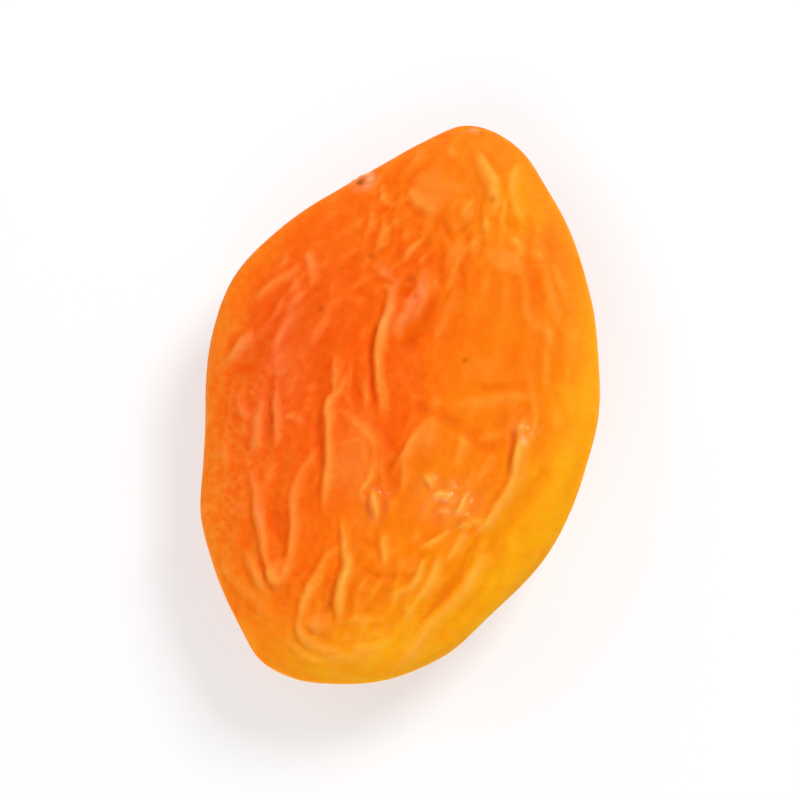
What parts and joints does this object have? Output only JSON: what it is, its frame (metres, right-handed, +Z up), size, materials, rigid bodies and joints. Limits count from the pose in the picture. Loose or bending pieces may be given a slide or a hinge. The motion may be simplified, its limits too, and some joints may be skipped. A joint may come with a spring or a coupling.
{
  "type": "dried apricot",
  "caption": "Whole stoned dried apricot, pressed flat: leathery orange pad with a plump rolled edge, sunken middle and raised folds, resting on a small flat spot.",
  "frame": {"origin": "on the table under the middle of the fruit's outline, at the underside's flat spot", "axes": "+Z up through the upper face, +Y towards the stem end along the fruit's length, +X across the fruit towards its plumper edge"},
  "size_m": [0.0308, 0.0466, 0.0086],
  "materials": {
    "dried_flesh": "leathery, slightly moist skin with a soft sheen"
  },
  "bodies": {
    "root": {"dried_apricot": "dried_flesh"}
  },
  "joints": []
}
